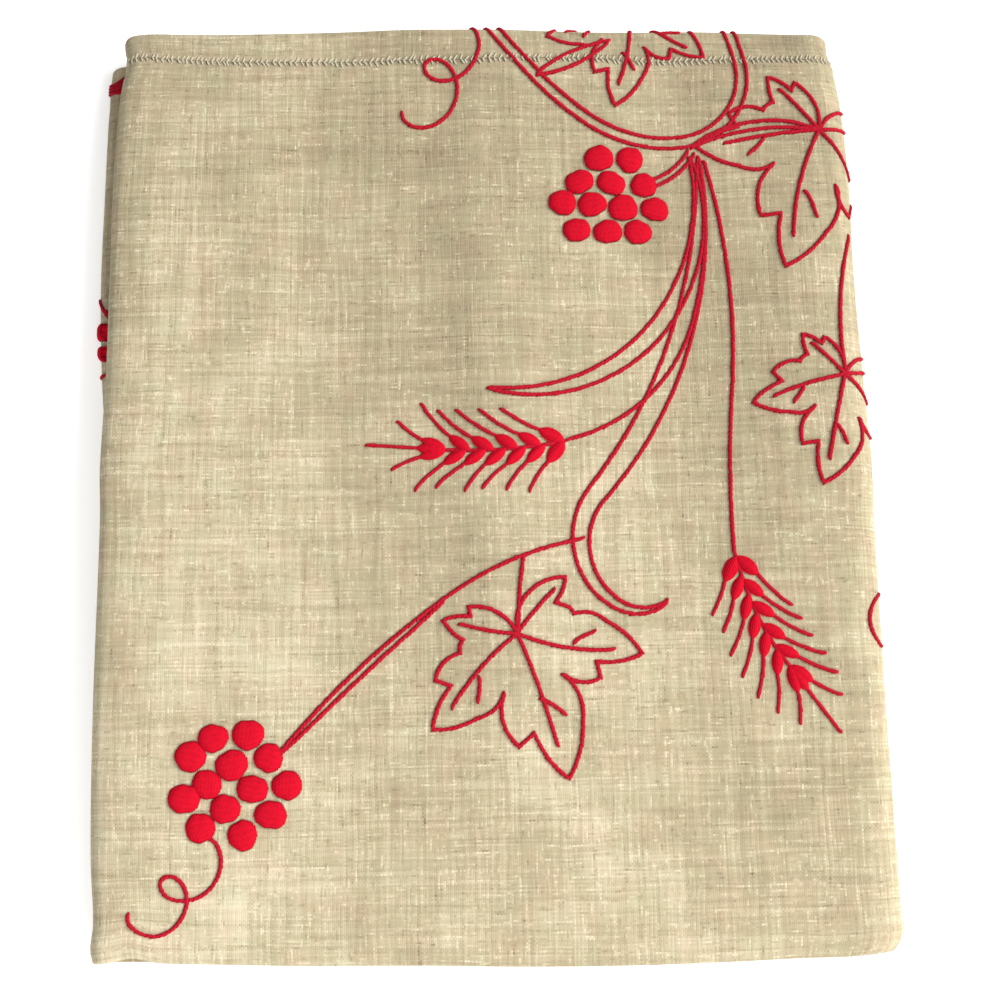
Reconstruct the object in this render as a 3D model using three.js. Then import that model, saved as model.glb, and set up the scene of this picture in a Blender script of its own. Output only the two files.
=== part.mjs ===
// A large embroidered linen tablecloth, about 1.20 m by 1.49 m, folded in four each way and lying flat.
// Two hemmed linen widths meet at a seam. All lengths are in millimetres. +Z is up, +Y runs to the long
// end near the seam, and the underside rests on Z = 0.

import * as THREE from "three";

// Driving dimensions
const foldedWidth = 305;
const foldedLength = 375;
const clothThickness = 1.0;
const hemThickness = 1.2;
const hemWidth = 12;
const layerGap = 0.35;
const packGap = 0.65;
const seamFromEnd = 15;
const seamGap = 0.3;

// How the cloth lies
const firstHemBack = 1;
const lastHemBack = 3;
const hemNose = 0.35;
const edgeFade = 52;
const endFade = 40;
const endPress = { share: 0.08, reach: 14 };
const sidePress = { share: 0.04, reach: 12 };

// Facets: where the straight runs are divided, and how finely the turns are
const widthStops = [-143, -132, -112, -84, -45, -5, 35, 75, 108, 132];
const lengthStops = [-182, -168, -140, -100, -50, 0, 50, 95, 130, 158];
const hairpinSteps = 5;
const widthTurnSteps = 8;
const lengthTurnSteps = 6;

const linen = { color: 0xd7c9a6, roughness: 0.9, metalness: 0 };

// Sizes that follow from them. A layer is one thickness of cloth, and a pack is four layers.
const layerPitch = clothThickness + layerGap;
const packThickness = 3 * layerPitch + clothThickness;
const packPitch = packThickness + packGap;
const packMiddle = 1.5 * layerPitch;
const stackHeight = 3 * packPitch + packThickness;
const stackMiddle = stackHeight / 2;
const seamPlace = foldedLength / 2 - seamFromEnd;

// The side edges of the stack, up its length: how far each lies inside the plain rectangle.
// The lower pair of packs stands out on the left, along the upper half of the length.
const sideEdges = [
  { at: -188, leftUpper: 2.6, leftLower: 2.8, right: 3.4 },
  { at: -182, leftUpper: 1.3, leftLower: 1.6, right: -1.0 },
  { at: -172, leftUpper: 2.7, leftLower: 2.7, right: -0.7 },
  { at: -145, leftUpper: 1.3, leftLower: 1.3, right: -0.4 },
  { at: -90, leftUpper: -0.3, leftLower: 0.2, right: 0.0 },
  { at: -20, leftUpper: -0.1, leftLower: 0.3, right: -0.4 },
  { at: 2, leftUpper: -0.5, leftLower: 0.0, right: -1.1 },
  { at: 40, leftUpper: 0.2, leftLower: -3.9, right: 0.1 },
  { at: 80, leftUpper: 0.3, leftLower: -5.7, right: 1.4 },
  { at: 120, leftUpper: 0.4, leftLower: -5.4, right: 0.6 },
  { at: 150, leftUpper: 1.5, leftLower: -5.0, right: 1.8 },
  { at: 165, leftUpper: 2.8, leftLower: -4.6, right: 3.2 },
  { at: 175, leftUpper: 5.1, leftLower: -4.2, right: 5.6 },
  { at: 181, leftUpper: 5.0, leftLower: 0.4, right: 6.2 },
  { at: 188, leftUpper: 4.6, leftLower: 3.4, right: 6.8 },
];

// The end edges, across the width: how far each lies inside the plain rectangle.
const endEdges = [
  { at: -153, seamEndUpper: 3.2, seamEndLower: 9.0, plainEnd: 4.8 },
  { at: -146, seamEndUpper: 2.0, seamEndLower: 8.6, plainEnd: 3.2 },
  { at: -137, seamEndUpper: 1.6, seamEndLower: 7.0, plainEnd: 4.6 },
  { at: -126, seamEndUpper: 1.7, seamEndLower: 4.0, plainEnd: 2.6 },
  { at: -104, seamEndUpper: 1.9, seamEndLower: 2.0, plainEnd: 1.9 },
  { at: -64, seamEndUpper: 1.2, seamEndLower: 1.2, plainEnd: 0.5 },
  { at: -28, seamEndUpper: -1.0, seamEndLower: -1.0, plainEnd: -0.4 },
  { at: 10, seamEndUpper: 0.0, seamEndLower: 0.0, plainEnd: -1.5 },
  { at: 50, seamEndUpper: 1.2, seamEndLower: 1.2, plainEnd: -2.0 },
  { at: 87, seamEndUpper: 0.8, seamEndLower: 0.8, plainEnd: -1.5 },
  { at: 112, seamEndUpper: 1.8, seamEndLower: 1.8, plainEnd: -0.2 },
  { at: 134, seamEndUpper: 2.8, seamEndLower: 2.8, plainEnd: -0.4 },
  { at: 147, seamEndUpper: 4.2, seamEndLower: 4.2, plainEnd: 1.4 },
  { at: 153, seamEndUpper: 6.0, seamEndLower: 6.0, plainEnd: 3.6 },
];

// Soft swells and troughs of the upper face: centre, reach and height.
const swells = [
  { x: -112, y: 0, reachX: 46, reachY: 230, height: 0.6 },
  { x: -38, y: 60, reachX: 42, reachY: 190, height: -0.9 },
  { x: 17, y: 10, reachX: 28, reachY: 200, height: 0.9 },
  { x: 78, y: 60, reachX: 38, reachY: 180, height: -0.8 },
  { x: 130, y: 40, reachX: 26, reachY: 190, height: 0.5 },
];

// A value read from a named column of an edge table, along a smooth curve through its rows.
function readEdge(table, column, place) {
  const last = table.length - 1;
  const clamped = Math.min(Math.max(place, table[0].at), table[last].at);
  let row = 0;
  while (row < last - 1 && table[row + 1].at < clamped) row += 1;
  const before = table[Math.max(row - 1, 0)];
  const from = table[row];
  const to = table[row + 1];
  const after = table[Math.min(row + 2, last)];
  const span = to.at - from.at;
  const share = (clamped - from.at) / span;
  const slopeIn = (to[column] - before[column]) / (to.at - before.at);
  const slopeOut = (after[column] - from[column]) / (after.at - from.at);
  const curve = (start, end, startSlope, endSlope, s) =>
    start * (1 + 2 * s) * (1 - s) ** 2 +
    startSlope * span * s * (1 - s) ** 2 +
    end * s * s * (3 - 2 * s) -
    endSlope * span * s * s * (1 - s);
  return curve(from[column], to[column], slopeIn, slopeOut, share);
}

// 1 at an edge, falling smoothly to 0 at the reach.
function fade(distance, reach) {
  const share = Math.min(Math.max(distance / reach, 0), 1);
  return 1 - share * share * (3 - 2 * share);
}

function swellHeight(x, y) {
  let height = 0;
  for (const swell of swells) {
    const away = Math.min(Math.hypot((x - swell.x) / swell.reachX, (y - swell.y) / swell.reachY), 1);
    height += swell.height * Math.cos((away * Math.PI) / 2) ** 2;
  }
  return height;
}

// The plain stack, eased into the way the cloth really lies: uneven edges, pressed rims and soft swells.
// The underside stays flat.
function ease(x, y, z) {
  const upper = z > stackMiddle;
  const fromLeft = x + foldedWidth / 2;
  const fromRight = foldedWidth / 2 - x;
  const fromSeamEnd = foldedLength / 2 - y;
  const fromPlainEnd = foldedLength / 2 + y;
  const left = readEdge(sideEdges, upper ? "leftUpper" : "leftLower", y);
  const right = readEdge(sideEdges, "right", y);
  const seamEnd = readEdge(endEdges, upper ? "seamEndUpper" : "seamEndLower", x);
  const plainEnd = readEdge(endEdges, "plainEnd", x);
  const press =
    1 -
    endPress.share * fade(fromSeamEnd, endPress.reach) -
    sidePress.share * fade(Math.min(fromLeft, fromPlainEnd), sidePress.reach);
  return new THREE.Vector3(
    x + left * fade(fromLeft, edgeFade) - right * fade(fromRight, edgeFade),
    y - seamEnd * fade(fromSeamEnd, endFade) + plainEnd * fade(fromPlainEnd, endFade),
    z * press + (z / stackHeight) * swellHeight(x, y),
  );
}

// The middle line of a cloth folded in four: hem, run, hairpin, run, wide turn round the outside,
// run, hairpin, run, hem. It lies in a plane, across by up, on four levels one pitch apart.
// Each station has its place, the way its right side faces, and its distance along the cloth.
function foldLine({ hairpinAt, turnAt, pitch, lift, stops, turnSteps }) {
  const line = [];
  const add = (across, up, faceAcross, faceUp) => line.push({ across, up, faceAcross, faceUp });
  const run = (level, places, faceUp) => {
    for (const place of places) add(place, lift + level * pitch, 0, faceUp);
  };
  const turn = (centre, level, radius, startAngle, steps) => {
    for (let step = 0; step <= steps; step += 1) {
      const angle = startAngle - (Math.PI * step) / steps;
      const c = Math.cos(angle);
      const s = Math.sin(angle);
      add(centre + radius * c, lift + level * pitch + radius * s, c, s);
    }
  };
  const back = [...stops].reverse();
  run(2, [turnAt - firstHemBack, ...back], -1);
  turn(hairpinAt, 2.5, pitch / 2, -Math.PI / 2, hairpinSteps);
  run(3, stops, 1);
  turn(turnAt, 1.5, 1.5 * pitch, Math.PI / 2, turnSteps);
  run(0, back, -1);
  turn(hairpinAt, 0.5, pitch / 2, -Math.PI / 2, hairpinSteps);
  run(1, [...stops, turnAt - lastHemBack], 1);
  let along = 0;
  line.forEach((station, index) => {
    const previous = line[Math.max(index - 1, 0)];
    along += Math.hypot(station.across - previous.across, station.up - previous.up);
    station.along = along;
  });
  for (const station of line) station.fromHem = Math.min(station.along, along - station.along);
  return line;
}

// The section of one pack: its four layers, folded back and forth along the length.
const section = foldLine({
  hairpinAt: -foldedLength / 2 + layerPitch / 2 + clothThickness / 2,
  turnAt: foldedLength / 2 - 1.5 * layerPitch - clothThickness / 2,
  pitch: layerPitch,
  lift: 0,
  stops: [...lengthStops, seamPlace],
  turnSteps: lengthTurnSteps,
});

// The route that the section takes across the width: four packs.
const route = foldLine({
  hairpinAt: -foldedWidth / 2 + packPitch / 2 + packThickness / 2,
  turnAt: foldedWidth / 2 - 1.5 * packPitch - packThickness / 2,
  pitch: packPitch,
  lift: packThickness / 2,
  stops: widthStops,
  turnSteps: widthTurnSteps,
});

// The seam cuts the section's line at its station on the upper outer layer.
const seamIndex = section.findIndex((station) => station.across === seamPlace && station.faceUp === 1);
const seamEdge = (side) => ({ ...section[seamIndex], across: seamPlace + (side * seamGap) / 2 });
const frontSection = [...section.slice(0, seamIndex), seamEdge(-1)];
const backSection = [seamEdge(1), ...section.slice(seamIndex + 1)];

// One linen width: its part of the section, swept along the route and eased. Hems are a little thicker
// and have a rounded edge.
function linenWidth(name, stations, hemFirst) {
  const hemStation = hemFirst ? stations[0] : stations[stations.length - 1];
  const hemSide = hemFirst ? -1 : 1;

  const halfThickness = (station, place) => {
    const nearHem = fade(Math.min(station.fromHem, place.fromHem) - hemWidth / 2, hemWidth / 2);
    return (clothThickness + (hemThickness - clothThickness) * nearHem) / 2;
  };
  const placed = (station, offset, nose, place) => {
    const y = station.across + offset * station.faceAcross + nose * station.faceUp;
    const level = station.up + offset * station.faceUp - packMiddle;
    return ease(place.across + level * place.faceAcross, y, place.up + level * place.faceUp);
  };

  const count = stations.length;
  const ringSize = 2 * count + 1;
  const vertices = [];
  for (const place of route) {
    for (const station of stations) {
      vertices.push(placed(station, halfThickness(station, place), 0, place));
    }
    for (const station of [...stations].reverse()) {
      vertices.push(placed(station, -halfThickness(station, place), 0, place));
    }
    vertices.push(placed(hemStation, 0, hemSide * hemNose, place));
  }

  // A ring runs out along the right side and back along the wrong side. The hem's nose joins them.
  const nose = ringSize - 1;
  const order = [];
  for (let index = 0; index < count; index += 1) order.push(index);
  if (!hemFirst) order.push(nose);
  for (let index = count; index < 2 * count; index += 1) order.push(index);
  if (hemFirst) order.push(nose);

  const faces = [];
  for (let ring = 0; ring + 1 < route.length; ring += 1) {
    const near = ring * ringSize;
    const far = near + ringSize;
    order.forEach((from, index) => {
      const to = order[(index + 1) % ringSize];
      faces.push(near + from, far + to, near + to, near + from, far + from, far + to);
    });
  }
  const cap = (base, flip) => {
    const face = (a, b, c) => {
      const turned = flip ? [a, b, c] : [a, c, b];
      faces.push(...turned.map((corner) => base + corner));
    };
    for (let index = 0; index + 1 < count; index += 1) {
      const across = 2 * count - 1 - index;
      face(index, across, index + 1);
      face(index + 1, across, across - 1);
    }
    if (hemFirst) face(0, nose, 2 * count - 1);
    else face(count - 1, count, nose);
  };
  cap(0, false);
  cap((route.length - 1) * ringSize, true);

  const geometry = new THREE.BufferGeometry().setFromPoints(vertices);
  geometry.setIndex(faces);
  geometry.computeVertexNormals();
  const mesh = new THREE.Mesh(geometry, new THREE.MeshStandardMaterial(linen));
  mesh.name = name;
  return mesh;
}

const tablecloth = new THREE.Group();
tablecloth.add(linenWidth("front_linen_width", frontSection, true));
tablecloth.add(linenWidth("back_linen_width", backSection, false));

// The eased stack is moved as a whole, so that the middle of its box is over the origin.
const box = new THREE.Box3().setFromObject(tablecloth);
const middle = box.getCenter(new THREE.Vector3());
for (const mesh of tablecloth.children) mesh.geometry.translate(-middle.x, -middle.y, 0);

export default tablecloth;
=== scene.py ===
# A linen tablecloth with red embroidery, folded in four each way and lying flat, seen from above.
# Places on the cloth are in millimetres across and along its upper face, as it would lie if it were plain.

import math

import bpy
import numpy as np
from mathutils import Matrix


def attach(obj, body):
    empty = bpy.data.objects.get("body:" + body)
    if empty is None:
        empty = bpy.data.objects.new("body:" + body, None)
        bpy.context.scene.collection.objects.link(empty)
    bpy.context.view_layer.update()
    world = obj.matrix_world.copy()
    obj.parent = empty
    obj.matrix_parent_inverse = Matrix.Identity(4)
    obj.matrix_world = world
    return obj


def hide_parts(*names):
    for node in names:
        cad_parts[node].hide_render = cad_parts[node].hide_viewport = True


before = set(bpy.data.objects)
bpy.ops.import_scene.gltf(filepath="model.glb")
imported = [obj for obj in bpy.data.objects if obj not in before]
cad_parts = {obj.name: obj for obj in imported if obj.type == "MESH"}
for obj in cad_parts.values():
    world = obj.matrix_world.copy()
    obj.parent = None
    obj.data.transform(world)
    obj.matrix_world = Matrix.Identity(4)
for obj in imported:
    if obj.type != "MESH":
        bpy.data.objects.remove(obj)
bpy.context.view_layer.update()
bpy.ops.object.select_all(action="DESELECT")


# The linen
# Two widths of plain-woven flax, of the natural beige yarn, each with a narrow hem turned and sewn down on
# its free edges. The cloth is folded back and forth along its length, then across its width, and pressed
# by hand, so its edges run a little uneven and its face has soft swells and creases.

metres = 0.001
folded_width = 305
folded_length = 375
cloth_thickness = 1.0
hem_share = 1.2
hem_width = 12
layer_pitch = cloth_thickness + 0.35
pack_thickness = 3 * layer_pitch + cloth_thickness
pack_pitch = pack_thickness + 0.65
stack_height = 3 * pack_pitch + pack_thickness
seam_from_end = 15
seam_gap = 0.3
first_hem_back = 1
last_hem_back = 3
edge_fade = 52
end_fade = 40

# How far each side edge lies inside the plain rectangle: place along it, left edge of the upper packs,
# left edge of the lower packs, right edge.
side_edges = np.array([
    (-188, 2.6, 2.8, 3.0),
    (-182, 1.3, 1.6, -1.0),
    (-172, 2.1, 2.1, -0.9),
    (-145, 0.3, 0.3, -0.7),
    (-90, -0.6, -0.1, -0.4),
    (-20, -0.2, 0.3, -0.8),
    (2, -0.9, -0.4, -1.4),
    (40, 0.2, -3.9, -0.2),
    (80, 0.3, -5.7, 0.7),
    (120, 0.4, -5.4, 0.2),
    (150, 1.5, -5.0, 1.2),
    (165, 2.8, -4.6, 2.7),
    (175, 4.8, -4.6, 4.4),
    (181, 3.2, -4.4, 5.6),
    (188, 2.4, -4.0, 5.0),
])

# How far each end lies inside it: place across, seam end of the upper packs, seam end of the lower packs,
# plain end.
end_edges = np.array([
    (-153, 1.2, 10.0, 2.2),
    (-146, 0.4, 9.5, 3.0),
    (-137, 0.3, 7.5, 4.4),
    (-126, 0.5, 4.5, 2.6),
    (-104, 0.5, 2.0, 1.6),
    (-64, -0.6, 1.2, 0.2),
    (-28, -1.8, -1.0, -0.4),
    (10, -1.6, 0.0, -1.6),
    (50, -0.4, 1.2, -2.0),
    (87, -0.6, 0.8, -1.5),
    (112, 0.2, 1.8, -0.8),
    (134, 0.9, 2.8, -0.6),
    (147, 0.6, 3.2, 0.4),
    (153, 0.4, 3.8, 0.6),
])

# Broad swells of the upper face: centre across, centre along, reach across, reach along, height.
swells = [
    (-142, 10, 46, 230, 1.7),
    (-62, 50, 44, 200, -1.9),
    (6, 20, 34, 210, 2.3),
    (74, 40, 34, 200, -2.2),
    (130, 20, 34, 230, 2.2),
    (30, -150, 110, 60, 0.7),
]

# Soft creases: start across and along, end across and along, half width, height.
creases = [
    (-76, 176, -70, -60, 7, -0.45),
    (-24, 170, -30, 10, 5, -0.50),
    (-8, 150, -2, -176, 6, 0.35),
    (44, 60, 48, -180, 8, -0.30),
    (-92, 128, -128, 66, 4, 0.30),
    (-140, 168, 120, 168, 3, -0.15),
    (96, -60, 104, -180, 7, 0.35),
    (-132, -30, -60, -42, 6, -0.20),
    (20, -96, 140, -90, 6, 0.20),
    (-20, -150, -16, -182, 3, 0.30),
    (-12, -140, -9, -182, 3, -0.25),
    (128, 60, 122, -120, 5, -0.25),
    (-146, 120, -132, -150, 4, -0.25),
]


def read_edge(table, column, place):
    """An edge's inset at a place, on a smooth curve through the table's rows."""
    at = table[:, 0]
    inset = table[:, column]
    last = len(at) - 1
    before = np.maximum(np.arange(last + 1) - 1, 0)
    after = np.minimum(np.arange(last + 1) + 1, last)
    slope = (inset[after] - inset[before]) / (at[after] - at[before])
    place = np.clip(place, at[0], at[last])
    row = np.clip(np.searchsorted(at, place) - 1, 0, last - 1)
    span = at[row + 1] - at[row]
    s = (place - at[row]) / span
    return (
        inset[row] * (1 + 2 * s) * (1 - s) ** 2
        + slope[row] * span * s * (1 - s) ** 2
        + inset[row + 1] * s * s * (3 - 2 * s)
        - slope[row + 1] * span * s * s * (1 - s)
    )


def fade(distance, reach):
    """1 at an edge, falling smoothly to 0 at the reach."""
    s = np.clip(distance / reach, 0, 1)
    return 1 - s * s * (3 - 2 * s)


def relief(x, y):
    """The height of the swells and creases of the upper face."""
    height = np.zeros_like(x)
    for centre_x, centre_y, reach_x, reach_y, swell in swells:
        away = np.minimum(np.hypot((x - centre_x) / reach_x, (y - centre_y) / reach_y), 1)
        height += swell * np.cos(away * math.pi / 2) ** 2
    for from_x, from_y, to_x, to_y, half_width, crease in creases:
        length = math.hypot(to_x - from_x, to_y - from_y)
        along = ((x - from_x) * (to_x - from_x) + (y - from_y) * (to_y - from_y)) / length
        aside = ((x - from_x) * (to_y - from_y) - (y - from_y) * (to_x - from_x)) / length
        wander = 2.5 * np.sin(along / 23 + from_x) + 1.2 * np.sin(along / 9 + from_y)
        ends = np.clip(along / 25, 0, 1) * np.clip((length - along) / 25, 0, 1)
        height += crease * ends * np.exp(-(((aside + wander) / half_width) ** 2))
    return height


def ease(x, y, z):
    """A point of the plain stack, moved to where the cloth really lies."""
    upper = z > stack_height / 2
    from_left = x + folded_width / 2
    from_right = folded_width / 2 - x
    from_seam_end = folded_length / 2 - y
    from_plain_end = folded_length / 2 + y
    left = np.where(upper, read_edge(side_edges, 1, y), read_edge(side_edges, 2, y))
    right = read_edge(side_edges, 3, y)
    seam_end = np.where(upper, read_edge(end_edges, 1, x), read_edge(end_edges, 2, x))
    plain_end = read_edge(end_edges, 3, x)
    press = 1 - 0.12 * fade(from_seam_end, 18) - 0.06 * fade(np.minimum(from_left, from_plain_end), 14)
    return np.stack([
        x + left * fade(from_left, edge_fade) - right * fade(from_right, edge_fade),
        y - seam_end * fade(from_seam_end, end_fade) + plain_end * fade(from_plain_end, end_fade),
        z * press + z / stack_height * relief(x, y),
    ], axis=-1)


def fold_in_four(hairpin_at, turn_at, pitch, rim):
    """The line that a cloth folded in four follows, as a table with a row for each end of a run or a turn.

    Columns: place on the outer face, where the turn's centre is across and up, the turn's radius, and the
    angle that the right side faces, from straight up. The rim is the outer face's distance from the line.
    """
    run = turn_at - hairpin_at
    hairpin_arc = math.pi * (pitch / 2 + rim)
    turn_arc = math.pi * (1.5 * pitch + rim)
    steps = [0, run - first_hem_back, hairpin_arc, run, turn_arc, run, hairpin_arc, run - last_hem_back]
    place = np.cumsum(steps) + hairpin_at - hairpin_arc - run + first_hem_back
    centre_x = [turn_at - first_hem_back, hairpin_at, hairpin_at, turn_at, turn_at]
    centre_x += [hairpin_at, hairpin_at, turn_at - last_hem_back]
    centre_level = np.array([2.5, 2.5, 2.5, 1.5, 1.5, 0.5, 0.5, 0.5])
    radius = np.array([0.5, 0.5, 0.5, 1.5, 1.5, 0.5, 0.5, 0.5])
    facing = np.array([-1, -1, 0, 0, 1, 1, 2, 2])
    return np.column_stack([place, centre_x, centre_level * pitch, radius * pitch, facing * math.pi])


def on_fold(line, place, outwards):
    """Where a place on a folded line lies, across and up, at a distance outwards from the line."""
    centre_x, centre_z, radius, facing = (np.interp(place, line[:, 0], line[:, i]) for i in range(1, 5))
    reach = radius + outwards
    return centre_x + reach * np.sin(facing), centre_z + reach * np.cos(facing)


section_rim = cloth_thickness / 2
section = fold_in_four(
    hairpin_at=-folded_length / 2 + layer_pitch / 2 + section_rim,
    turn_at=folded_length / 2 - 1.5 * layer_pitch - section_rim,
    pitch=layer_pitch,
    rim=section_rim,
)
route_rim = pack_thickness / 2
route = fold_in_four(
    hairpin_at=-folded_width / 2 + pack_pitch / 2 + route_rim,
    turn_at=folded_width / 2 - 1.5 * pack_pitch - route_rim,
    pitch=pack_pitch,
    rim=route_rim,
)
seam_at = folded_length / 2 - seam_from_end

# The seam wavers: place across, how far it lies past its straight line.
seam_waves = np.array([
    (-180, 0), (-150, 3.2), (-137, 1.8), (-96, 0.3), (-55, -0.4), (-14, -0.2), (38, 1.4), (74, -0.3),
    (127, 1.4), (180, 0),
])


def lay(x, y, outwards):
    """Places on the folded cloth, as points in space. The outwards distance starts at its middle layer."""
    across, up = on_fold(section, y, outwards)
    place_x, place_z = on_fold(route, x, up - 1.5 * layer_pitch)
    return ease(place_x, across, place_z + route_rim)


def stations(line, counts, start=None, end=None):
    """Places along a folded line, with a number of steps for each run and turn from the start to the end."""
    ends = [line[0, 0] if start is None else start]
    ends += [place for place in line[1:-1, 0] if place > ends[0] and (end is None or place < end)]
    ends += [line[-1, 0] if end is None else end]
    parts = [np.linspace(a, b, n, endpoint=False) for a, b, n in zip(ends, ends[1:], counts)]
    return np.concatenate([*parts, ends[-1:]])


def linen_sheet(name, along):
    """One linen width, laid on its folds: a thin sheet, a little thicker at its hems."""
    across = stations(route, [12, 12, 100, 24, 18, 12, 12])
    bpy.ops.mesh.primitive_grid_add(x_subdivisions=len(across) - 1, y_subdivisions=len(along) - 1, size=2)
    sheet = bpy.context.object
    sheet.name = name
    mesh = sheet.data
    corner = np.zeros(len(mesh.vertices) * 3)
    mesh.vertices.foreach_get("co", corner)
    corner = corner.reshape(-1, 3)
    column = np.rint((corner[:, 0] + 1) / 2 * (len(across) - 1)).astype(int)
    row = np.rint((corner[:, 1] + 1) / 2 * (len(along) - 1)).astype(int)
    x = across[column]
    y = along[row] + read_edge(seam_waves, 1, x) * fade(np.abs(along[row] - seam_at), 30)
    mesh.vertices.foreach_set("co", (lay(x, y, 0) * metres).ravel())

    # The weave follows the cloth: its map is in metres, as the cloth lies flat.
    loop_vertex = np.zeros(len(mesh.loops), int)
    mesh.loops.foreach_get("vertex_index", loop_vertex)
    flat = np.column_stack([x, y])[loop_vertex] * metres
    mesh.uv_layers[0].data.foreach_set("uv", flat.ravel())

    hem = sheet.vertex_groups.new(name="hem")
    from_hem = np.minimum(x - route[0, 0], route[-1, 0] - x)
    from_hem = np.minimum(from_hem, np.minimum(y - section[0, 0], section[-1, 0] - y))
    weight = 1 / hem_share + (1 - 1 / hem_share) * fade(from_hem - hem_width / 2, hem_width / 2)
    for index, share in enumerate(weight):
        hem.add([index], share, "REPLACE")
    thick = sheet.modifiers.new("thickness", "SOLIDIFY")
    thick.thickness = cloth_thickness * hem_share * metres
    thick.offset = 0
    thick.vertex_group = "hem"
    bpy.ops.object.modifier_apply(modifier=thick.name)
    bpy.ops.object.shade_smooth()
    return sheet


front_along = stations(section, [12, 8, 126], end=seam_at - seam_gap / 2)
back_along = stations(section, [5, 16, 12, 8, 12], start=seam_at + seam_gap / 2)
front_linen = linen_sheet("front_linen", front_along)
back_linen = linen_sheet("back_linen", back_along)

# The eased stack is moved as a whole, so that the middle of its box is over the origin.
linen_points = np.array([v.co for sheet in (front_linen, back_linen) for v in sheet.data.vertices])
middle = (linen_points.min(0) + linen_points.max(0)) / 2 * (1, 1, 0)
for sheet in (front_linen, back_linen):
    shifted = np.array([v.co for v in sheet.data.vertices]) - middle
    sheet.data.vertices.foreach_set("co", shifted.ravel())

# Natural flax: every thread has its own tone, and thick and thin places run along it as short dashes.
threads_per_metre = 1400
linen = bpy.data.materials.new("natural_linen")
linen.use_nodes = True
tree = linen.node_tree
shader = tree.nodes["Principled BSDF"]
shader.inputs["Roughness"].default_value = 0.9
shader.inputs["Specular IOR Level"].default_value = 0.12
shader.inputs["Sheen Weight"].default_value = 0.05
shader.inputs["Sheen Roughness"].default_value = 0.5


def sum_of(tree, operation, *values):
    """A Math node on these values, each a number or another node's output."""
    node = tree.nodes.new("ShaderNodeMath")
    node.operation = operation
    for socket, value in zip(node.inputs, values):
        if isinstance(value, (int, float)):
            socket.default_value = value
        else:
            tree.links.new(value, socket)
    return node.outputs[0]


def point_of(tree, x, y, z):
    """A vector from three values, each a number or another node's output."""
    node = tree.nodes.new("ShaderNodeCombineXYZ")
    for socket, value in zip(node.inputs, (x, y, z)):
        if isinstance(value, (int, float)):
            socket.default_value = value
        else:
            tree.links.new(value, socket)
    return node.outputs[0]


def noise_at(tree, point, scale, detail=2.0):
    """Smooth noise between about 0.25 and 0.75, read at a point."""
    node = tree.nodes.new("ShaderNodeTexNoise")
    node.inputs["Scale"].default_value = scale
    node.inputs["Detail"].default_value = detail
    tree.links.new(point, node.inputs["Vector"])
    return node.outputs["Fac"]


flat_map = tree.nodes.new("ShaderNodeUVMap")
flat_map.uv_map = front_linen.data.uv_layers[0].name
in_threads = tree.nodes.new("ShaderNodeVectorMath")
in_threads.operation = "SCALE"
in_threads.inputs["Scale"].default_value = threads_per_metre
tree.links.new(flat_map.outputs[0], in_threads.inputs[0])
parts = tree.nodes.new("ShaderNodeSeparateXYZ")
tree.links.new(in_threads.outputs[0], parts.inputs[0])

# Threads wander a little from straight.
wander = noise_at(tree, flat_map.outputs[0], 60)
warp_place = sum_of(tree, "MULTIPLY_ADD", wander, 2.4, parts.outputs["X"])
weft_place = sum_of(tree, "MULTIPLY_ADD", wander, 2.4, parts.outputs["Y"])
warp_thread = sum_of(tree, "FLOOR", warp_place)
weft_thread = sum_of(tree, "FLOOR", weft_place)


def thread_tone(thread, along, seed):
    """How light a thread is at a place: its own tone, its neighbours' tone, and its slubs."""
    slow = sum_of(tree, "MULTIPLY", along, 0.02)
    own = noise_at(tree, point_of(tree, sum_of(tree, "MULTIPLY", thread, 7.31), slow, seed), 1.0, 0.0)
    group = noise_at(tree, point_of(tree, sum_of(tree, "MULTIPLY", thread, 0.31), slow, seed + 3), 1.0, 3.0)
    slub_place = sum_of(tree, "MULTIPLY", along, 0.14)
    slub = noise_at(tree, point_of(tree, sum_of(tree, "MULTIPLY", thread, 1.73), slub_place, seed), 1.0, 1.0)
    tone = sum_of(tree, "MULTIPLY_ADD", own, 0.5, sum_of(tree, "MULTIPLY_ADD", group, 0.55, 0.175))
    bright = sum_of(tree, "MULTIPLY", sum_of(tree, "SUBTRACT", slub, 0.62), 2.6)
    bright = sum_of(tree, "MAXIMUM", bright, 0.0)
    dark = sum_of(tree, "MULTIPLY", sum_of(tree, "SUBTRACT", 0.365, slub), 2.3)
    dark = sum_of(tree, "MAXIMUM", dark, 0.0)
    return sum_of(tree, "ADD", tone, sum_of(tree, "SUBTRACT", bright, dark))


warp_tone = thread_tone(warp_thread, parts.outputs["Y"], 1.5)
weft_tone = thread_tone(weft_thread, parts.outputs["X"], 8.5)

# Plain weave: each thread goes over one and under the next, and the one below shines through.
parity = sum_of(tree, "ADD", warp_thread, weft_thread)
warp_over = sum_of(tree, "PINGPONG", parity, 1.0)
over_tone = tree.nodes.new("ShaderNodeMix")
tree.links.new(sum_of(tree, "MULTIPLY_ADD", warp_over, 0.4, 0.3), over_tone.inputs["Factor"])
tree.links.new(weft_tone, over_tone.inputs["A"])
tree.links.new(warp_tone, over_tone.inputs["B"])
warp_round = sum_of(tree, "PINGPONG", warp_place, 0.5)
weft_round = sum_of(tree, "PINGPONG", weft_place, 0.5)
both_round = sum_of(tree, "MULTIPLY", warp_round, weft_round)
crown = sum_of(tree, "POWER", both_round, 0.5)

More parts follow.
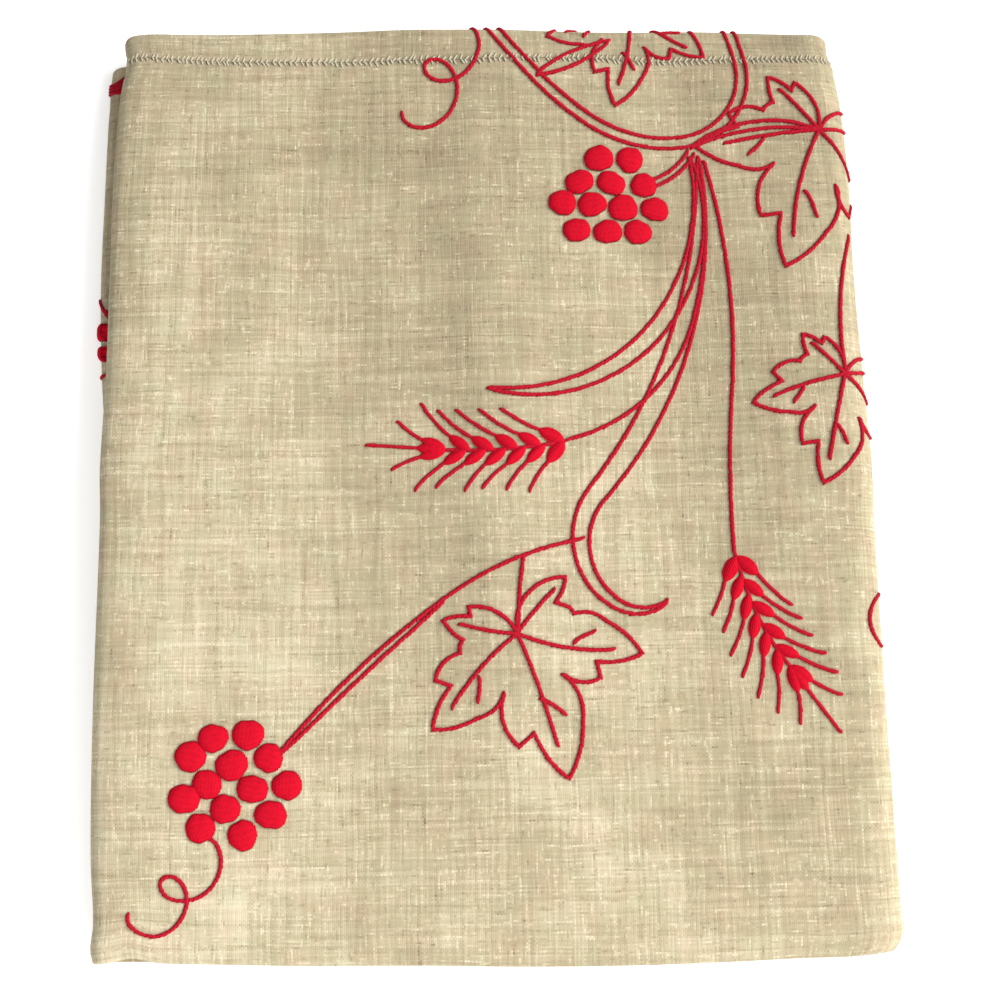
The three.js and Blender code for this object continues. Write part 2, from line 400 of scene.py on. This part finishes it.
# Bands of darker and lighter tone, which waver along the cloth: place in metres, tone. They are partly the
# yarn's own uneven tone and partly painted shade: the darkest warp bands are painted shade on the flanks of
# the swells that face away from the window light, and the weft bands darken towards the seam end as a
# painted fall of the light.
warp_yarn_and_shade_bands = [
    (-0.150, 0.50), (-0.115, 0.60), (-0.060, 0.51), (-0.022, 0.34), (0.022, 0.51), (0.062, 0.51),
    (0.098, 0.30), (0.140, 0.46),
]
weft_yarn_and_shade_bands = [(-0.160, 0.58), (-0.060, 0.55), (0.030, 0.51), (0.120, 0.43), (0.180, 0.40)]
half_map = 0.2
sway = noise_at(tree, flat_map.outputs[0], 9, 2.0)
cloud = noise_at(tree, flat_map.outputs[0], 34, 4.0)
metre_parts = tree.nodes.new("ShaderNodeSeparateXYZ")
tree.links.new(flat_map.outputs[0], metre_parts.inputs[0])


def yarn_and_shade_band_tone(place, bands):
    """The tone of the bands, partly yarn tone and partly painted shade, at a place across them, from a smooth
    ramp with a stop for each row.
    """
    swayed = sum_of(tree, "MULTIPLY_ADD", sum_of(tree, "SUBTRACT", sway, 0.5), 0.05, place)
    share = sum_of(tree, "MULTIPLY_ADD", swayed, 0.5 / half_map, 0.5)
    ramp = tree.nodes.new("ShaderNodeValToRGB")
    ramp.color_ramp.interpolation = "B_SPLINE"
    stops = ramp.color_ramp.elements
    stops.remove(stops[1])
    for i, (at, tone) in enumerate(bands):
        stop = stops[0] if i == 0 else stops.new(0.5 + 0.5 * at / half_map)
        stop.position = 0.5 + 0.5 * at / half_map
        stop.color = (tone, tone, tone, 1)
    tree.links.new(share, ramp.inputs[0])
    return ramp.outputs["Color"]


warp_yarn_and_shade_band = yarn_and_shade_band_tone(metre_parts.outputs["X"], warp_yarn_and_shade_bands)
weft_yarn_and_shade_band = yarn_and_shade_band_tone(metre_parts.outputs["Y"], weft_yarn_and_shade_bands)
cloudy_tone = sum_of(tree, "MULTIPLY_ADD", sum_of(tree, "SUBTRACT", cloud, 0.5), 0.40, over_tone.outputs[0])
# The bands, the yarn's own tone together with painted fold shade and painted fall of light, join the weave's
# tone here.
broad_yarn_tone_and_shade = sum_of(tree, "SUBTRACT", sum_of(tree, "ADD", warp_yarn_and_shade_band, weft_yarn_and_shade_band), 1.0)
tone = sum_of(tree, "MULTIPLY_ADD", broad_yarn_tone_and_shade, 0.62, cloudy_tone)

colour_of_tone = tree.nodes.new("ShaderNodeValToRGB")
colour_of_tone.color_ramp.elements[0].position = 0.26
colour_of_tone.color_ramp.elements[0].color = (0.200, 0.158, 0.098, 1)
colour_of_tone.color_ramp.elements[1].position = 1.12
colour_of_tone.color_ramp.elements[1].color = (0.680, 0.610, 0.450, 1)
middle_tone = colour_of_tone.color_ramp.elements.new(0.70)
middle_tone.color = (0.445, 0.380, 0.250, 1)
tree.links.new(tone, colour_of_tone.inputs[0])

# Broad patches are a little greener or pinker.
patch = noise_at(tree, flat_map.outputs[0], 75, 3.0)
patch_mix = tree.nodes.new("ShaderNodeMix")
patch_mix.data_type = "RGBA"
patch_mix.blend_type = "MULTIPLY"
patch_mix.inputs["Factor"].default_value = 1.0
patch_colour = tree.nodes.new("ShaderNodeValToRGB")
patch_colour.color_ramp.elements[0].position = 0.36
patch_colour.color_ramp.elements[0].color = (0.940, 0.960, 0.915, 1)
patch_colour.color_ramp.elements[1].position = 0.66
patch_colour.color_ramp.elements[1].color = (1.0, 0.945, 0.925, 1)
tree.links.new(patch, patch_colour.inputs[0])
tree.links.new(colour_of_tone.outputs["Color"], patch_mix.inputs["A"])
tree.links.new(patch_colour.outputs["Color"], patch_mix.inputs["B"])
tree.links.new(patch_mix.outputs["Result"], shader.inputs["Base Color"])

bump = tree.nodes.new("ShaderNodeBump")
bump.inputs["Strength"].default_value = 0.5
bump.inputs["Distance"].default_value = 0.0004
tree.links.new(sum_of(tree, "MULTIPLY_ADD", over_tone.outputs[0], 0.5, crown), bump.inputs["Height"])
tree.links.new(bump.outputs["Normal"], shader.inputs["Normal"])

for sheet, node in ((front_linen, "front_linen_width"), (back_linen, "back_linen_width")):
    sheet.data.materials.clear()
    sheet.data.materials.append(linen)
    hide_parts(node)
    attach(sheet, "root")


# The joining seam
# The two widths are whipped together edge to edge with a cream cotton thread. Two rows of slanted stitches
# meet at the join as small chevrons, uneven because they are worked by hand.

rng = np.random.default_rng(11)
seam_row_height = 2.4
seam_pitch = 2.35
seam_lean = 1.3
seam_thread = 0.85


def thread_form(segments, rings):
    """A stitch's plain form: a closed spindle with its length from -1 to 1, a side, and an upper face."""
    bpy.ops.mesh.primitive_uv_sphere_add(segments=segments, ring_count=rings, radius=1)
    ball = bpy.context.object
    points = np.array([v.co for v in ball.data.vertices])
    girth = np.maximum(np.hypot(points[:, 0], points[:, 1]), 1e-6)
    form = {
        "side": points[:, 0] * girth**-0.55,
        "up": points[:, 1] * girth**-0.55,
        "along": points[:, 2],
        "faces": [np.array(face.vertices) for face in ball.data.polygons],
        "turns": np.array([corner.uv for corner in ball.data.uv_layers[0].data]),
    }
    bpy.data.objects.remove(ball)
    return form


def sew(name, form, stitches, material):
    """A piece of many stitches laid on the cloth, none on its underside.

    Each of the stitches is x, y and height for every corner of the form.
    """
    x, y, height = (np.concatenate([stitch[i] for stitch in stitches]) for i in range(3))
    points = lay(x, y, cloth_thickness / 2 + height) - middle / metres
    points = points[points[..., 2].min(axis=1) > 2.0] * metres
    count, corners = points.shape[:2]
    faces = [list(face + corners * i) for i in range(count) for face in form["faces"]]
    mesh = bpy.data.meshes.new(name)
    mesh.from_pydata(points.reshape(-1, 3).tolist(), [], faces)
    turns = mesh.uv_layers.new(name="thread")
    turns.data.foreach_set("uv", np.tile(form["turns"], (count, 1)).ravel())
    piece = bpy.data.objects.new(name, mesh)
    bpy.context.scene.collection.objects.link(piece)
    mesh.polygons.foreach_set("use_smooth", [True] * len(faces))
    mesh.materials.append(material)
    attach(piece, "root")
    return piece


def straight_stitches(form, start, end, width, rise):
    """Stitches from start to end, each bowed up between its two holes."""
    start, end = np.asarray(start, float), np.asarray(end, float)
    width = np.broadcast_to(width, len(start))[:, None]
    rise = np.broadcast_to(rise, len(start))[:, None]
    heading = end - start
    length = np.hypot(heading[:, 0], heading[:, 1])[:, None]
    heading = heading / length
    t = (1 + form["along"]) / 2
    x = start[:, :1] + heading[:, :1] * length * t - heading[:, 1:] * width / 2 * form["side"]
    y = start[:, 1:] + heading[:, 1:] * length * t + heading[:, :1] * width / 2 * form["side"]
    height = rise * (1 - form["along"] ** 2) + width * 0.45 * form["up"]
    return x, y, height


def seam_line(x):
    """Where the seam runs, a little off straight."""
    return seam_at + read_edge(seam_waves, 1, x) + 0.15 * np.sin(x / 7)


def cotton(name, colour, dark, painted_end_shade):
    """Softly twisted cotton thread: two plies that turn round each other, with painted shade in their grooves
    and at a stitch's ends.
    """
    material = bpy.data.materials.new(name)
    material.use_nodes = True
    tree = material.node_tree
    shader = tree.nodes["Principled BSDF"]
    shader.inputs["Roughness"].default_value = 0.75
    shader.inputs["Specular IOR Level"].default_value = 0.06
    turns = tree.nodes.new("ShaderNodeUVMap")
    turns.uv_map = "thread"
    parts = tree.nodes.new("ShaderNodeSeparateXYZ")
    tree.links.new(turns.outputs[0], parts.inputs[0])
    turned = sum_of(tree, "MULTIPLY", parts.outputs["X"], 2.0)
    twist = sum_of(tree, "MULTIPLY_ADD", parts.outputs["Y"], 7.0, turned)
    ply = sum_of(tree, "PINGPONG", twist, 0.5)
    place = tree.nodes.new("ShaderNodeTexCoord")
    uneven = noise_at(tree, place.outputs["Object"], 900, 2.0)
    share = sum_of(tree, "MULTIPLY_ADD", ply, 0.7, sum_of(tree, "MULTIPLY", uneven, 0.9))
    # Painted shade: the dark colour stands in the grooves between the twisted plies.
    ramp = tree.nodes.new("ShaderNodeValToRGB")
    ramp.color_ramp.elements[0].position = 0.25
    ramp.color_ramp.elements[0].color = (*dark, 1)
    ramp.color_ramp.elements[1].position = 0.75
    ramp.color_ramp.elements[1].color = (*colour, 1)
    tree.links.new(share, ramp.inputs[0])
    # Painted shade: the colour darkens towards both ends of a stitch, where it goes down into the cloth.
    painted_end_shade_ramp = tree.nodes.new("ShaderNodeValToRGB")
    painted_end_shade_ramp.color_ramp.elements[0].position = 0.02
    painted_end_shade_ramp.color_ramp.elements[0].color = (painted_end_shade, painted_end_shade, painted_end_shade, 1)
    painted_end_shade_ramp.color_ramp.elements[1].position = 0.16
    tree.links.new(sum_of(tree, "PINGPONG", parts.outputs["Y"], 0.5), painted_end_shade_ramp.inputs[0])
    shaded = tree.nodes.new("ShaderNodeMix")
    shaded.data_type = "RGBA"
    shaded.blend_type = "MULTIPLY"
    shaded.inputs["Factor"].default_value = 1.0
    tree.links.new(ramp.outputs["Color"], shaded.inputs["A"])
    tree.links.new(painted_end_shade_ramp.outputs["Color"], shaded.inputs["B"])
    tree.links.new(shaded.outputs["Result"], shader.inputs["Base Color"])
    bump = tree.nodes.new("ShaderNodeBump")
    bump.inputs["Strength"].default_value = 0.35
    bump.inputs["Distance"].default_value = 0.0001
    tree.links.new(share, bump.inputs["Height"])
    tree.links.new(bump.outputs["Normal"], shader.inputs["Normal"])
    return material


seam_cotton = cotton("cream_cotton", (0.52, 0.475, 0.355), (0.40, 0.355, 0.265), 0.75)
short_thread = thread_form(6, 6)
seam_x = np.arange(-165, 172, seam_pitch)
seam_stitches = []
for side in (1, -1):
    start_x = seam_x + rng.normal(0, 0.3, len(seam_x))
    start = np.column_stack([start_x, seam_line(seam_x) - side * rng.uniform(0.1, 0.5, len(seam_x))])
    lean = seam_lean * rng.uniform(0.6, 1.4, len(seam_x))
    reach = side * seam_row_height * rng.uniform(0.65, 1.15, len(seam_x))
    end = start + np.column_stack([lean, reach])
    rise = rng.uniform(0.05, 0.3, len(seam_x))
    seam_stitches.append(straight_stitches(short_thread, start, end, seam_thread, rise))
seam = sew("seam_stitches", short_thread, seam_stitches, seam_cotton)


# The vine stems and blades
# The embroidery is worked in thick red cotton. Its lines are stem stitch: long slanted stitches that overlap
# by half, so that a line looks like a fine rope. The vine comes over the seam end and branches to the
# grapes, to two curled blades, to two ears of wheat and to the leaves.

# The same red thread as the satin strands, in a darker colour: painted shade between its overlapping
# stitches.
red_cotton_painted_shade = cotton("red_cotton_painted_shade", (0.44, 0.010, 0.026), (0.27, 0.004, 0.012), 0.75)
stem_length = 4.0
stem_step = 1.9
stem_width = 1.5
stem_slant = 0.46
stem_rise = 0.45


def sweep(x, y, heading, *bends):
    """A line that leaves a point at a heading and bends through arcs, each a length and a turn."""
    points = [(x, y)]
    for length, turn in bends:
        steps = max(round(length), 4)
        for _ in range(steps):
            heading += turn / steps
            x += length / steps * math.cos(math.radians(heading))
            y += length / steps * math.sin(math.radians(heading))
            points.append((x, y))
    return np.array(points, float)


def beside(line, gap, taper=0.0):
    """A line to the left of another, by a gap that may close towards both ends."""
    heading = np.gradient(line, axis=0)
    heading /= np.hypot(heading[:, :1], heading[:, 1:])
    share = np.linspace(0, 1, len(line))[:, None]
    off = gap * np.clip(np.sin(np.pi * share), 0, 1) ** taper
    return line + off * np.column_stack([-heading[:, 1], heading[:, 0]])


face_right = 155
face_top = 189
face_bottom = -187


def on_face(lines):
    """The runs of some lines that lie on the upper face, as far as the turns at its edges."""
    runs = []
    for line in lines:
        inside = (line[:, 0] < face_right) & (line[:, 1] < face_top) & (line[:, 1] > face_bottom)
        for run in np.split(np.arange(len(line)), np.flatnonzero(np.diff(inside)) + 1):
            if inside[run[0]] and len(run) > 3:
                runs.append(line[run])
    return runs


def outline(start, *legs):
    """Lines from corner to corner. A leg is its end, x and y, and its bulge to the left of its heading."""
    lines = []
    start = np.array(start, float)
    for x, y, bulge in legs:
        end = np.array([x, y], float)
        t = np.linspace(0, 1, max(int(np.hypot(*(end - start))), 4))[:, None]
        leftwards = np.array([start[1] - end[1], end[0] - start[0]])
        lines.append(start + (end - start) * t + leftwards * bulge * 4 * t * (1 - t))
        start = end
    return lines


def stem_stitch(form, lines, width=stem_width, slant=stem_slant, rise=stem_rise):
    """The stitches of some lines, each from one side of its line to the other, a little past both ends."""
    stitches = []
    for line in lines:
        before = line[:1] + 0.6 * (line[:1] - line[1:2])
        after = line[-1:] + 0.6 * (line[-1:] - line[-2:-1])
        line = np.concatenate([before, line, after])
        distance = np.concatenate([[0], np.cumsum(np.hypot(*np.diff(line, axis=0).T))])
        heading = np.gradient(line, distance, axis=0)
        heading /= np.hypot(heading[:, :1], heading[:, 1:])
        count = max(round(distance[-1] / stem_step), 1)
        middles = (np.arange(count) + 0.5) * distance[-1] / count + rng.normal(0, 0.12, count)
        half = stem_length / 2 * rng.uniform(0.88, 1.12, count)
        start = np.maximum(middles - half, 0)[:, None]
        end = np.minimum(middles + half, distance[-1])[:, None]
        along = start + (end - start) * (1 + form["along"]) / 2
        girth = (width * rng.uniform(0.9, 1.1, count))[:, None]
        aside = slant * form["along"] + rng.normal(0, 0.06, count)[:, None] + girth / 2 * form["side"]
        x = np.interp(along, distance, line[:, 0]) - aside * np.interp(along, distance, heading[:, 1])
        y = np.interp(along, distance, line[:, 1]) + aside * np.interp(along, distance, heading[:, 0])
        height = rise * (1 - form["along"] ** 2) + girth * 0.4 * form["up"]
        stitches.append((x, y, height))
    return stitches


stem = sweep(0, 190, -58, (60, 20), (45, 45), (50, 90), (20, 10))
leaf_stem = sweep(85, 134, 25, (55, -35))
edge_stem = sweep(150, 96, -110, (60, 25))
low_stem = sweep(36, -29, 190, (60, 25), (85, 15))
bunch_stem = sweep(84, 133, -120, (21, -40))
bract = sweep(22, 166, 5, (36, 45))
vine_lines = [
    stem,
    beside(stem, 4.5),
    leaf_stem,
    beside(leaf_stem, 3.5, 0.7),
    edge_stem,
    low_stem,
    beside(low_stem[60:], 3.0, 0.5),
    bunch_stem,
    beside(bunch_stem, 3.0),
    bract,
    beside(bract, 6, 0.7),
    sweep(12, -36, -100, (30, 10)),
    sweep(154, -52, 190, (28, 150)),
]

blade_lines = []
for blade, width in (
    (sweep(84, 130, -80, (70, -45), (80, -60)), 7),
    (sweep(88, 130, -82, (95, -30), (60, -20), (45, 95), (20, 70)), -9),
):
    blade_lines += [blade, beside(blade, width, 0.7)]

stalk_lines = [
    sweep(88, 128, -82, (70, -25), (75, -60)),
    sweep(90, 128, -76, (100, -20), (65, 8)),
]

vine_thread = thread_form(6, 6)
vine_stitches = stem_stitch(vine_thread, on_face(vine_lines + stalk_lines))
vine = sew("vine_stitches", vine_thread, vine_stitches, red_cotton_painted_shade)
blades = sew("blade_stitches", vine_thread, stem_stitch(vine_thread, on_face(blade_lines)), red_cotton_painted_shade)


# The vine leaves
# Four vine leaves in stem stitch outline: five pointed lobes with a barb on each, and forked veins from the
# knot. One comes over the fold at the seam end, and two run on to the turn of the right edge.

# The angle of each lobe from the middle vein, and its length as a share of the leaf's.
leaf_lobes = [(-118, 0.50), (-60, 0.84), (0, 1.0), (60, 0.84), (118, 0.50)]


def vine_leaf(x, y, turn, size):
    """The edge and the veins of a leaf, from its knot. Its turn is the heading of the middle vein."""

    def spot(angle, share):
        way = math.radians(turn + angle)
        return x + size * share * math.cos(way), y + size * share * math.sin(way)

    legs = []
    lines = []
    for angle, length in leaf_lobes:
        angle += rng.uniform(-4, 4)
        legs.append((*spot(angle - 19, length * 0.74), -0.16))
        legs.append((*spot(angle - 10, length * 0.66), 0.0))
        legs.append((*spot(angle, length), -0.08))
        legs.append((*spot(angle + 17, length * 0.72), -0.07))
        if angle < 90:
            legs.append((*spot(angle + 29, 0.40), -0.14))
        lines.extend(outline((x, y), (*spot(angle, length * 0.78), rng.uniform(-0.06, 0.06))))
        if length > 0.6:
            lines.extend(outline(spot(angle, length * 0.45), (*spot(angle + 11, length * 0.62), 0.05)))
    legs.append((x, y, -0.16))
    return outline((x, y), *legs) + lines


leaf_lines = [
    *vine_leaf(139, 141, 250, 62),
    *vine_leaf(142, 36, 255, 46),
    *vine_leaf(9, -66, 290, 58),
    *vine_leaf(62, 196, 262, 44),
]

leaf_thread = thread_form(6, 6)
leaves = sew("leaf_stitches", leaf_thread, stem_stitch(leaf_thread, on_face(leaf_lines)), red_cotton_painted_shade)


# The tendrils
# Two tendrils in stem stitch, which curl in loops. One comes over the fold at the seam end, and the other
# leaves the tip of the lower bunch.


def tendril(x, y, heading, length, loops, size):
    """A line that travels along a heading and loops to its left as it goes."""
    turn = np.linspace(0, 2 * math.pi * loops, 70 * loops)
    ahead = length * turn / turn[-1] - size * np.sin(turn)
    aside = size * (1 - np.cos(turn))
    cos, sin = math.cos(math.radians(heading)), math.sin(math.radians(heading))
    return np.column_stack([x + ahead * cos - aside * sin, y + ahead * sin + aside * cos])


tendril_lines = [
    tendril(-112, -141, 228, 38, 2, 8),
    tendril(-15, 190, 245, 44, 2, 9),
]

tendril_thread = thread_form(6, 6)
tendril_stitches = stem_stitch(tendril_thread, on_face(tendril_lines))
tendrils = sew("tendril_stitches", tendril_thread, tendril_stitches, red_cotton_painted_shade)


# The grapes
# Two bunches of round grapes in padded satin stitch: close strands of the same red cotton, laid side by side
# over a pad of stitches, so that each grape stands up as a smooth button.

grape_height = 1.7
strand_pitch = 0.5
strand_width = 0.9
row_pitch = 11.3
grape_pitch = 12


def bunch(x, y, turn, rows):
    """The grapes of a bunch: centre across and along, half width, half height, angle of strands."""
    cos, sin = math.cos(math.radians(turn)), math.sin(math.radians(turn))
    berries = []
    for row, count in enumerate(rows):
        for place in range(count):
            ahead = row_pitch * row + rng.uniform(-0.8, 0.8)
            aside = grape_pitch * (place - (count - 1) / 2) + rng.uniform(-0.7, 0.7)
            half_width, half_height = rng.uniform(5.2, 6.0, 2)
            berries.append((x + ahead * cos - aside * sin, y + ahead * sin + aside * cos,
                            half_width, half_height, rng.uniform(65, 105)))
    return berries


grapes = bunch(64, 118, 205, (3, 4, 3, 2)) + bunch(-86, -112, 215, (3, 4, 4, 2))


def satin_button(form, x, y, half_width, half_height, angle):
    """The strands of one grape, side by side, each an arch over the pad, with slightly uneven ends."""
    count = round(2 * half_width / strand_pitch)
    place = (np.arange(count) + 0.5) / count * 2 - 1
    chord = half_height * np.sqrt(1 - (0.97 * place) ** 2)
    wave = rng.uniform(0, 2 * math.pi, 4)
    top = chord + 0.3 * np.sin(3 * place + wave[0]) + 0.15 * np.sin(8 * place + wave[1])
    foot = -chord + 0.3 * np.sin(3 * place + wave[2]) + 0.15 * np.sin(8 * place + wave[3])
    crown = grape_height * (1 - np.abs(place) ** 3) ** 0.5
    along = foot[:, None] + (top - foot)[:, None] * (1 + form["along"][None]) / 2
    aside = (place * half_width)[:, None] + strand_width / 2 * form["side"][None]
    arch = (1 - np.abs(form["along"]) ** 3.2) ** 0.5
    height = crown[:, None] * arch + strand_width * 0.32 * form["up"]
    cos, sin = math.cos(math.radians(angle)), math.sin(math.radians(angle))
    return x + along * cos + aside * sin, y + along * sin - aside * cos, height


# The same red thread as the stem stitch, in a lighter colour: painted sheen on its long strands.
satin_cotton_painted_sheen = cotton("satin_cotton_painted_sheen", (0.56, 0.004, 0.020), (0.45, 0.003, 0.014), 0.3)
strand = thread_form(5, 9)
grape_piece = sew("grape_stitches", strand, [satin_button(strand, *grape) for grape in grapes], satin_cotton_painted_sheen)


# The ears of wheat
# Plump grains in satin stitch stand in two rows along each ear, with three at its tip. A long awn in finer
# stem stitch leaves the end of every grain.

ear_thread = thread_form(6, 6)
grain_strands = 7
grain_height = 1.3


def grain(form, x, y, angle, length, width):
    """The lengthwise strands of one grain, from its root, pointed at both ends."""
    place = np.linspace(-1, 1, grain_strands)[:, None]
    along = (form["along"][None] * (1 - 0.12 * place**2) + 1) / 2 * length
    swell = (1 - form["along"] ** 2) ** 0.75
    aside = place * (width / 2 - 0.4) * swell + 0.5 * form["side"][None]
    height = grain_height * (1 - 0.7 * place**2) * swell + 0.42 * form["up"]
    cos, sin = math.cos(angle), math.sin(angle)
    return x + along * cos - aside * sin, y + along * sin + aside * cos, height


def wheat_ear(axis, left_awns, right_awns, tips):
    """An ear along an axis from its root to its tip, with a grain for each awn, and three at the tip.

    An awn is its length and its turn from the axis, and a tip row is the grain's turn and length, then its
    awn's. The result is the strands of the grains, and the lines of the awns and the stalk.
    """
    grains = []
    lines = [axis]
    distance = np.concatenate([[0], np.cumsum(np.hypot(*np.diff(axis, axis=0).T))])
    heading = np.gradient(axis, distance, axis=0)

    def add_grain(at, turn, length, width, awn, awn_turn):
        x, y = (np.interp(at, distance, axis[:, i]) for i in range(2))
        forward = math.atan2(np.interp(at, distance, heading[:, 1]), np.interp(at, distance, heading[:, 0]))
        angle = forward + math.radians(turn)
        x -= 0.8 * math.cos(angle)
        y -= 0.8 * math.sin(angle)
        grains.append(grain(strand, x, y, angle, length, width))
        start = np.array([x, y]) + length * 0.93 * np.array([math.cos(angle), math.sin(angle)])
        outwards = forward + math.radians(awn_turn)
        end = start + awn * np.array([math.cos(outwards), math.sin(outwards)])
        lines.extend(outline(start, (*end, -0.04 * np.sign(turn))))

    for side, awns in ((1, left_awns), (-1, right_awns)):
        spread = (distance[-1] - 1) / len(awns)
        for i, (awn, awn_turn) in enumerate(awns):
            first = i == 0
            turn = side * (rng.uniform(37, 42) if first else rng.uniform(31, 37))
            width = 5.6 if first else rng.uniform(4.3, 4.8)
            add_grain(1 + spread * i, turn, 12.4 if first else 11.6, width, awn, side * awn_turn)
    for turn, length, awn, awn_turn in tips:
        add_grain(distance[-1], turn, length, 4.8, awn, awn_turn)
    return grains, lines


def even_awns(count, length, turn):
    """A row of awns, each a length and a turn from the axis."""
    return [(length * rng.uniform(0.85, 1.1), turn + rng.uniform(-5, 5)) for _ in range(count)]


ear_tips = [(20, 12, 12, 28), (-20, 12, 12, -34), (0, 13, 20, 0)]
ears = [
    wheat_ear(sweep(30, 10, 193, (48, -18)), even_awns(6, 14, 42), even_awns(5, 17, 46), ear_tips),
    wheat_ear(sweep(95, -36, -80, (48, 25)), even_awns(5, 16, 38), even_awns(6, 15, 38), ear_tips),
]
grain_stitches = [stitches for grains, lines in ears for stitches in grains]
ear_lines = [line for grains, lines in ears for line in lines]
grain_piece = sew("grain_stitches", strand, grain_stitches, satin_cotton_painted_sheen)
awns = sew("awn_stitches", ear_thread, stem_stitch(ear_thread, ear_lines, 1.5, 0.3, 0.25), red_cotton_painted_shade)

# Some of the same embroidery shows where the lower fold stands out on the left.
fold_start = route[5, 0]
fold_thread = thread_form(6, 6)
fold_lines = [
    sweep(fold_start + 10, 75, -60, (14, 10)),
    sweep(fold_start + 10, 42, 0, (8, 0)),
    *[sweep(fold_start + 10, y, -15, (8, 0)) for y in (172, 174, 176, 178)],
]
fold_grapes = [(fold_start + 14.5, 60, 6, 4, 80), (fold_start + 14.5, 51, 6, 3.5, 80)]
fold_buttons = [satin_button(strand, *grape) for grape in fold_grapes]
fold_piece = sew("fold_line_stitches", fold_thread, stem_stitch(fold_thread, fold_lines), red_cotton_painted_shade)
fold_button = sew("fold_grape_stitches", strand, fold_buttons, satin_cotton_painted_sheen)


# The floor, the lights and the camera
# A plain white table under soft daylight, brightest from the right of the picture and a little from below
# it. The camera looks almost straight down.

bpy.ops.mesh.primitive_plane_add(size=12, location=(0, 0, -0.0002))
floor = bpy.context.object
floor.name = "floor"
white = bpy.data.materials.new("white_floor")
white.use_nodes = True
white.node_tree.nodes["Principled BSDF"].inputs["Base Color"].default_value = (0.95, 0.95, 0.95, 1)
white.node_tree.nodes["Principled BSDF"].inputs["Roughness"].default_value = 0.9
white.node_tree.nodes["Principled BSDF"].inputs["Emission Color"].default_value = (1, 1, 1, 1)
white.node_tree.nodes["Principled BSDF"].inputs["Emission Strength"].default_value = 0.34
floor.data.materials.append(white)

world = bpy.data.worlds.new("soft_white")
bpy.context.scene.world = world
world.use_nodes = True
world.node_tree.nodes["Background"].inputs["Color"].default_value = (1.0, 1.0, 1.0, 1)
world.node_tree.nodes["Background"].inputs["Strength"].default_value = 0.34

bpy.ops.object.light_add(type="AREA", location=(5.2, 1.2, 3.9))
window = bpy.context.object
window.name = "window_light"
window.data.size = 4.4
window.data.energy = 660
window.rotation_euler = (0, math.radians(53), math.radians(12))

bpy.ops.object.light_add(type="AREA", location=(0.05, -0.9, 0.75))
near_light = bpy.context.object
near_light.name = "near_light"
near_light.data.size = 0.9
near_light.data.energy = 9.5
near_light.rotation_euler = (math.radians(50), 0, 0)

bpy.ops.object.camera_add(location=(-0.01641, -0.12795, 0.59727), rotation=(0.19893, -0.03241, -0.01853))
camera = bpy.context.object
camera.data.sensor_width = 36
camera.data.lens = 54.27
camera.data.clip_start = 0.01
bpy.context.scene.camera = camera
bpy.context.scene.view_settings.view_transform = "Standard"
